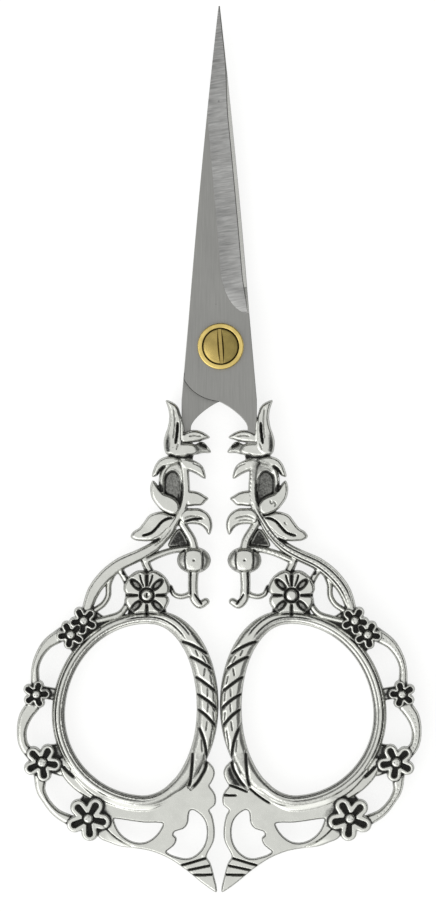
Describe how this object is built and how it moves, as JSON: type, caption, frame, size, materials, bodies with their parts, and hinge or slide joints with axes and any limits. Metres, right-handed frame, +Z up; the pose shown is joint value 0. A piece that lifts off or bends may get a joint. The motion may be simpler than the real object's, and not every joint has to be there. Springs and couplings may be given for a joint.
{
  "type": "embroidery scissors",
  "caption": "Small embroidery scissors with pointed hollow-ground steel blades and openwork cast handles of flowers, leaves and a rope-edged finger ring, held by a slotted brass pivot screw.",
  "frame": {"origin": "on the pivot axis, in the plane of the table that the closed scissors lie on, which is the back face of the pivot nut's flange", "axes": "+Y along the closed blades towards their points, +Z up from the table along the pivot axis, +X to the right as seen from above"},
  "size_m": [0.0574, 0.1248, 0.0047],
  "materials": {
    "blade_steel": "flat faces brushed lengthwise, bevels hollow-ground across and honed at the edge",
    "cast_silver": "antique silver plate on a zinc casting, bright on high places and blackened in the recesses",
    "turned_brass": "turned, worn satin"
  },
  "bodies": {
    "rear_half": {"rear_blade": "blade_steel", "left_handle": "cast_silver", "barrel_nut": "turned_brass"},
    "front_half": {"front_blade": "blade_steel", "right_handle": "cast_silver"},
    "washer": {"cup_washer": "turned_brass"},
    "screw": {"pivot_screw": "turned_brass"}
  },
  "joints": [
    {"name": "blade_pivot", "type": "hinge", "parent": "rear_half", "child": "front_half", "pos_m": [0, 0, 0.0022], "axis": [0, 0, 1], "range_deg": [0, 110]},
    {"name": "washer_lift", "type": "slide", "parent": "rear_half", "child": "washer", "axis": [0, 0, 1], "range_m": [0, 0.00025]},
    {"name": "screw_turn", "type": "hinge", "parent": "washer", "child": "screw", "pos_m": [0, 0, 0.0042], "axis": [0, 0, 1], "range_deg": [0, 180]}
  ],
  "couplings": [
    {"joint": "screw_turn", "follows": "washer_lift", "rad_per_m": 12566}
  ]
}
